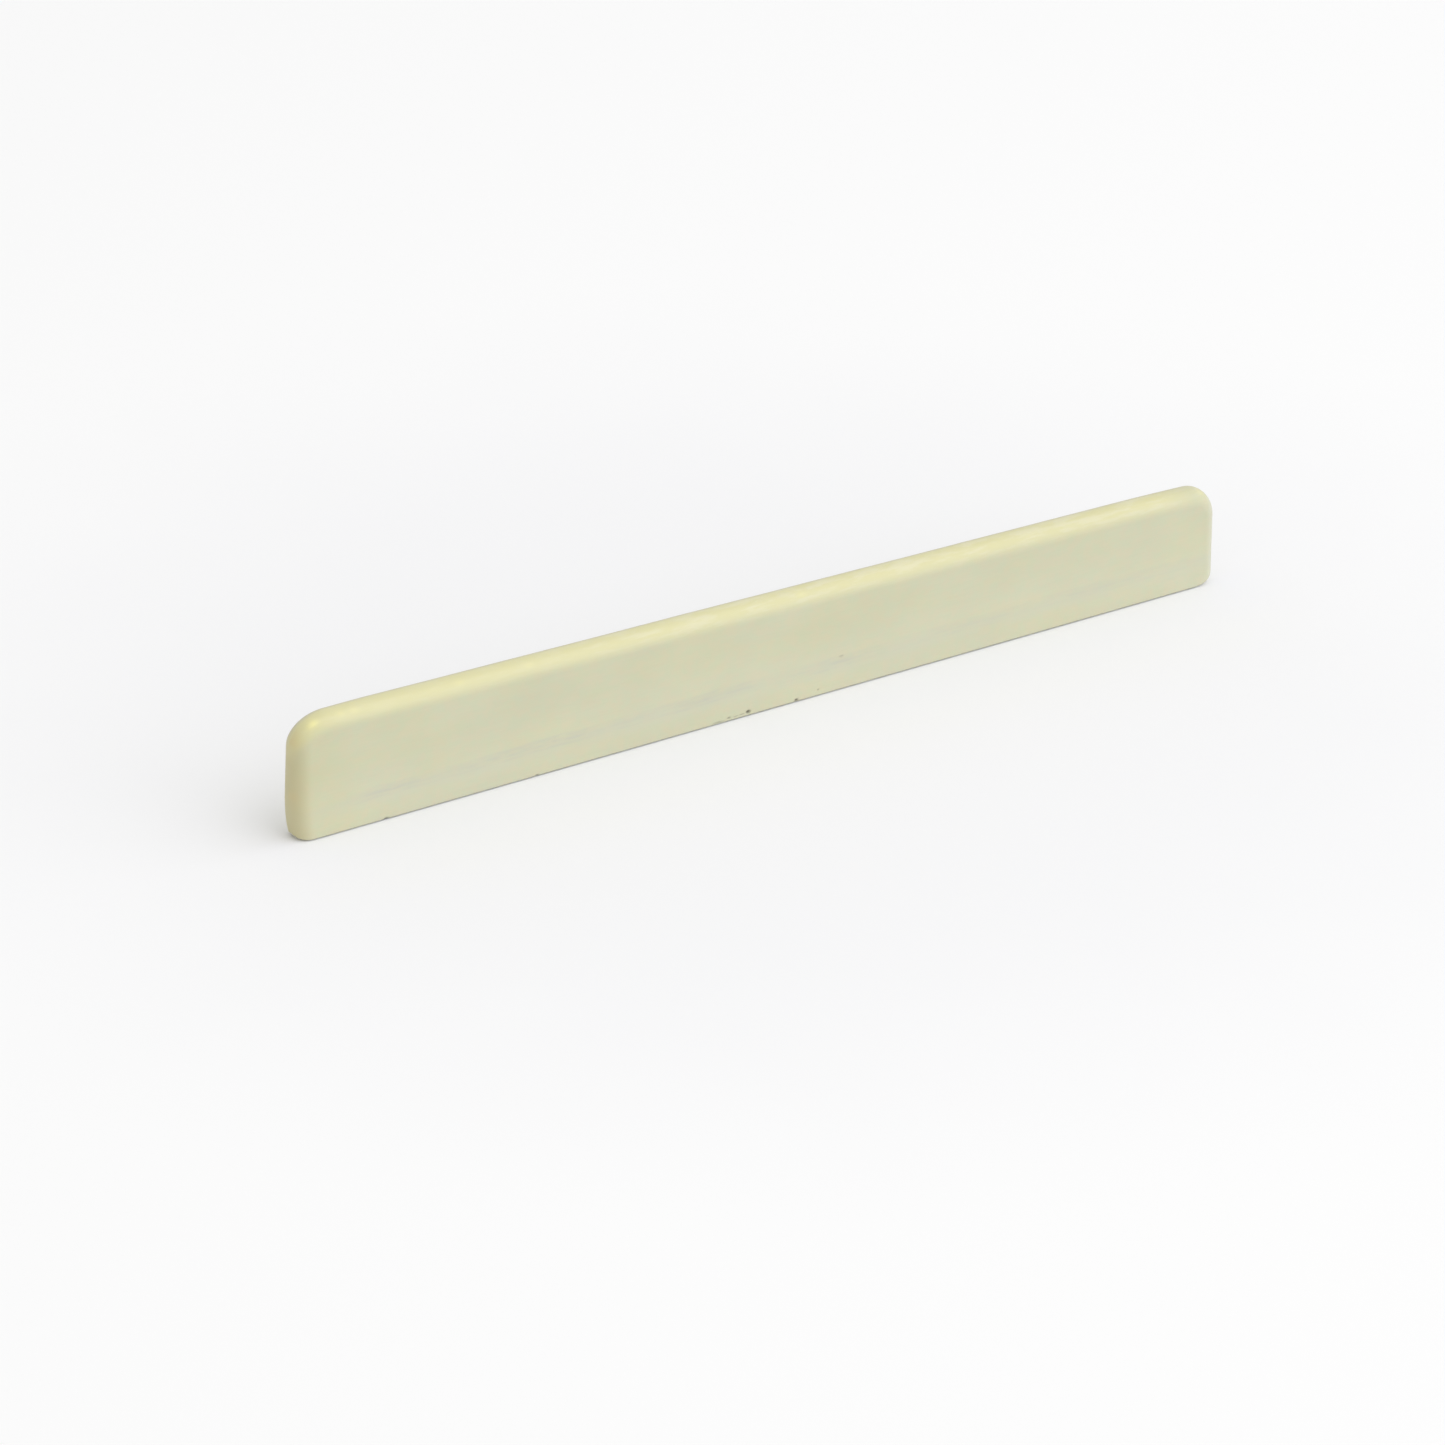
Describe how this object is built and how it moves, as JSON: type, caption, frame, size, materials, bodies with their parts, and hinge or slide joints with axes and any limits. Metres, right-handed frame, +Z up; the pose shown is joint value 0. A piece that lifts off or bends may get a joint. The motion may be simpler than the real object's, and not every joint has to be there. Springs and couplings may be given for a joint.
{
  "type": "bone folder",
  "caption": "Slim solid bone blade with one flat long edge, a rounded crown and rounded ends, for scoring and creasing paper.",
  "frame": {"origin": "under the middle of the blade, on the surface that its flat long edge stands on", "axes": "+Z up from the flat long edge to the crown, +X along the blade from the taller butt to the lower tip, -Y out of the front face"},
  "size_m": [0.15, 0.0044, 0.0171],
  "materials": {
    "bone": "satin polish on the flat faces, glossier on the worked crown and ends"
  },
  "bodies": {
    "root": {"bone_blade": "bone"}
  },
  "joints": []
}
